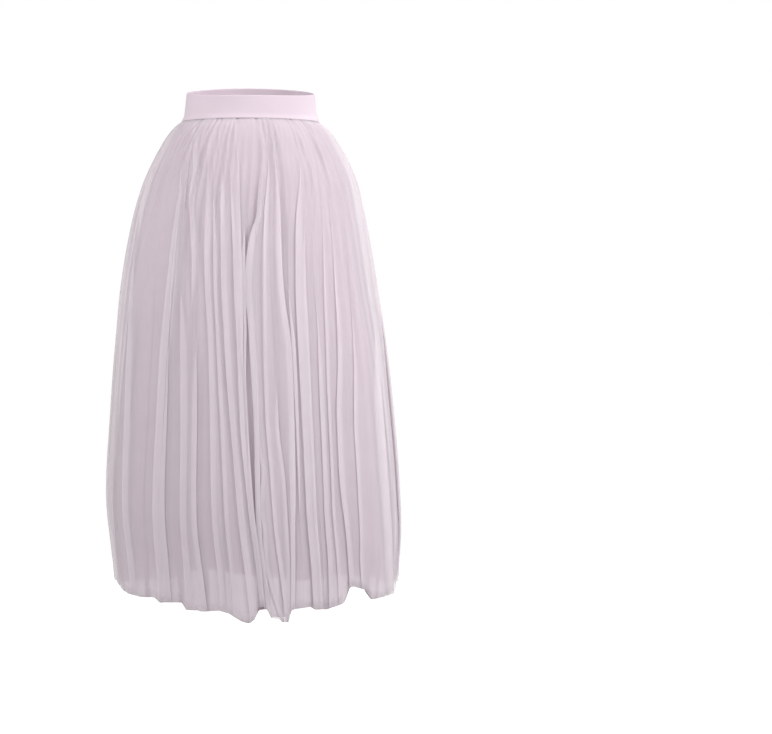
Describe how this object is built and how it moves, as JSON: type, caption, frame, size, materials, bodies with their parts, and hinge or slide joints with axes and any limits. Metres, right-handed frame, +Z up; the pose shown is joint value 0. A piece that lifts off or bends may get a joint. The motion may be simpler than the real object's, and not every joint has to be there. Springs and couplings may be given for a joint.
{
  "type": "tulle skirt",
  "caption": "Long gathered tulle skirt in its worn, hollow shape: smooth waistband, sheer tulle layers over a lining.",
  "frame": {"origin": "centre of the waist opening, level with the middle of the waistband's height at the centre front", "axes": "+Z up out of the waist opening, the front of the skirt faces -Y, and +X is the wearer's left side"},
  "size_m": [0.5498, 0.4387, 0.9796],
  "materials": {
    "waistband": "smooth doubled stretch knit, matte, pale pink-lilac",
    "outer_tulle": "soft sheer net, pale pink-lilac, gathered",
    "under_tulle": "soft sheer net, pale pink-lilac, gathered, under the outer layer",
    "lining": "opaque plain-woven satin-backed lining, dusty pink-lilac"
  },
  "bodies": {
    "root": {"waistband": "waistband", "outer_tulle_front": "outer_tulle", "outer_tulle_back": "outer_tulle", "under_tulle_front": "under_tulle", "under_tulle_back": "under_tulle", "lining_front": "lining", "lining_back": "lining"}
  },
  "joints": []
}
